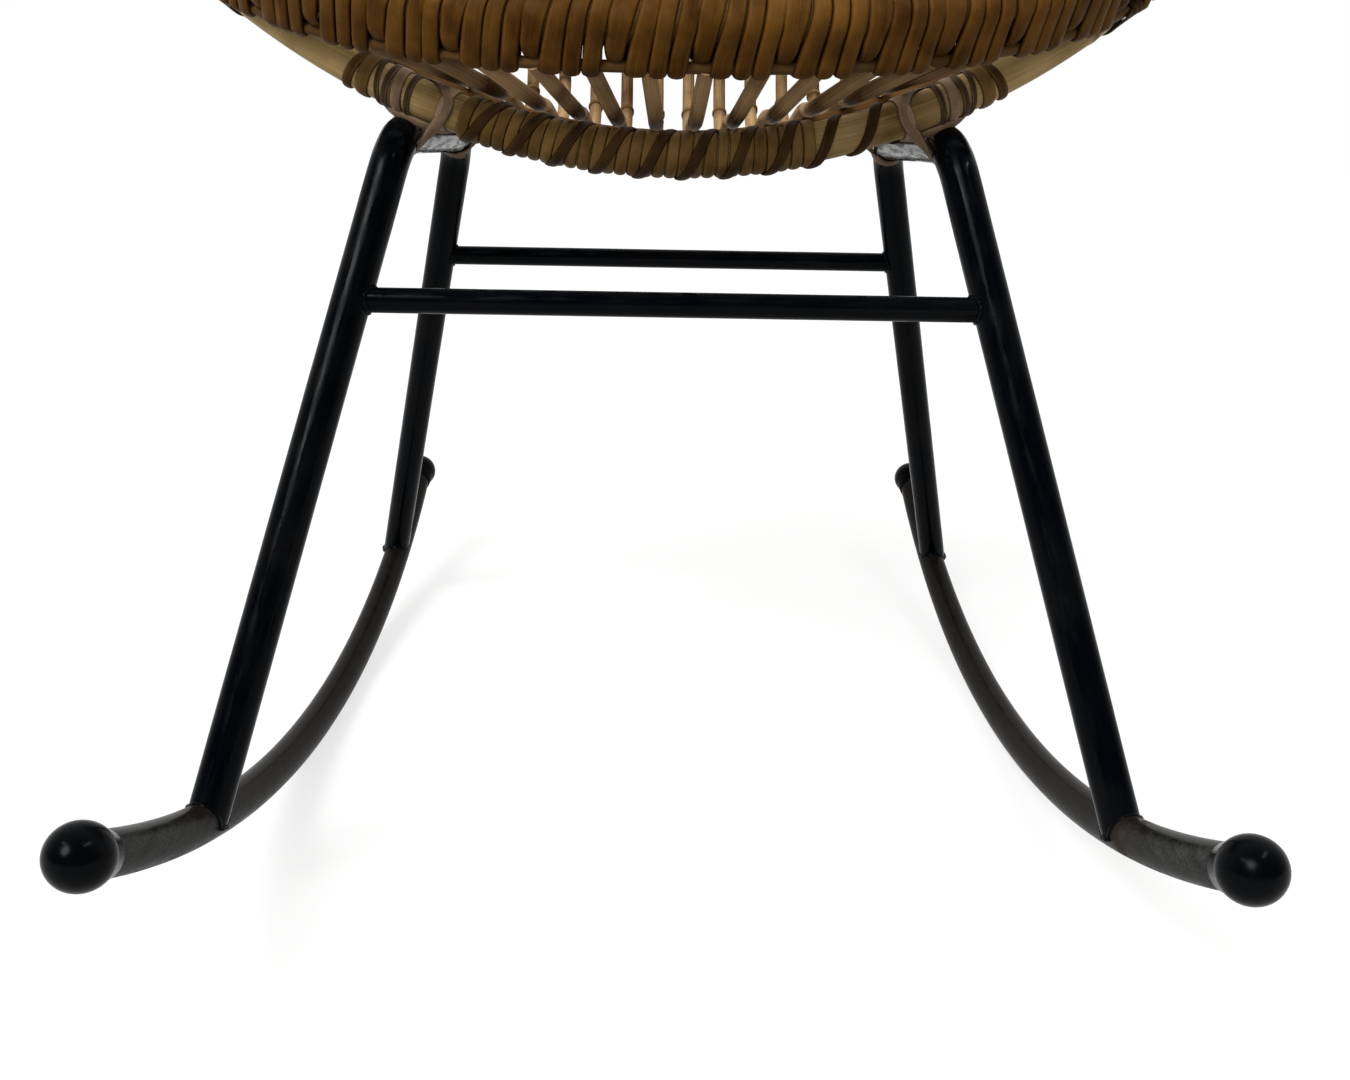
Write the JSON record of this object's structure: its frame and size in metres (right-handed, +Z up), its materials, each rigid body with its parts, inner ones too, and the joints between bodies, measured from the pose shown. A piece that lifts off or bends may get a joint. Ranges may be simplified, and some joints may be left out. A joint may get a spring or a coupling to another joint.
{
  "type": "rattan rocking chair",
  "caption": "Low rocking chair with a round tub shell of rattan rods and cane-bound poles, lashed to a rocking frame of bent black steel tube with ball-ended rockers.",
  "frame": {"origin": "On the floor, under the middle of the chair in width and length", "axes": "+Z is up, the sitter faces -Y, and +X is to the right as seen from the front"},
  "size_m": [0.65, 0.7558, 0.7489],
  "materials": {
    "black_enamel": "worn gloss enamel",
    "black_cap": "gloss",
    "pole_rattan": "natural satin",
    "rod_rattan": "natural satin",
    "cane_tape": "natural satin",
    "dark_cane": "dark satin"
  },
  "bodies": {
    "root": {"left_rocker": "black_enamel", "left_leg_hoop": "black_enamel", "right_rocker": "black_enamel", "right_leg_hoop": "black_enamel", "front_stretcher": "black_enamel", "rear_stretcher": "black_enamel", "front_left_cap": "black_cap", "front_right_cap": "black_cap", "rear_left_cap": "black_cap", "rear_right_cap": "black_cap", "seat_hoop": "pole_rattan", "rim_upper_pole": "pole_rattan", "rim_lower_pole": "pole_rattan", "seat_bearer": "pole_rattan", "seat_rod_left_1": "rod_rattan", "seat_rod_left_2": "rod_rattan", "seat_rod_left_3": "rod_rattan", "seat_rod_left_4": "rod_rattan", "seat_rod_left_5": "rod_rattan", "seat_rod_left_6": "rod_rattan", "flank_rod_left_1": "rod_rattan", "flank_rod_left_2": "rod_rattan", "flank_rod_left_3": "rod_rattan", "arm_rod_left_1": "rod_rattan", "arm_rod_left_2": "rod_rattan", "arm_rod_left_3": "rod_rattan", "arm_rod_left_4": "rod_rattan", "seat_rod_right_1": "rod_rattan", "seat_rod_right_2": "rod_rattan", "seat_rod_right_3": "rod_rattan", "seat_rod_right_4": "rod_rattan", "seat_rod_right_5": "rod_rattan", "seat_rod_right_6": "rod_rattan", "flank_rod_right_1": "rod_rattan", "flank_rod_right_2": "rod_rattan", "flank_rod_right_3": "rod_rattan", "arm_rod_right_1": "rod_rattan", "arm_rod_right_2": "rod_rattan", "arm_rod_right_3": "rod_rattan", "arm_rod_right_4": "rod_rattan", "back_weaver_inner": "rod_rattan", "back_weaver_outer": "rod_rattan", "front_left_rail_lashing": "cane_tape", "front_right_rail_lashing": "cane_tape", "rear_left_rail_lashing": "cane_tape", "rear_right_rail_lashing": "cane_tape", "hoop_front_binding": "cane_tape", "rim_front_binding": "cane_tape", "rim_left_binding": "cane_tape", "rim_right_binding": "cane_tape", "rim_back_binding": "cane_tape", "left_rim_lashing": "dark_cane", "right_rim_lashing": "dark_cane"}
  },
  "joints": []
}
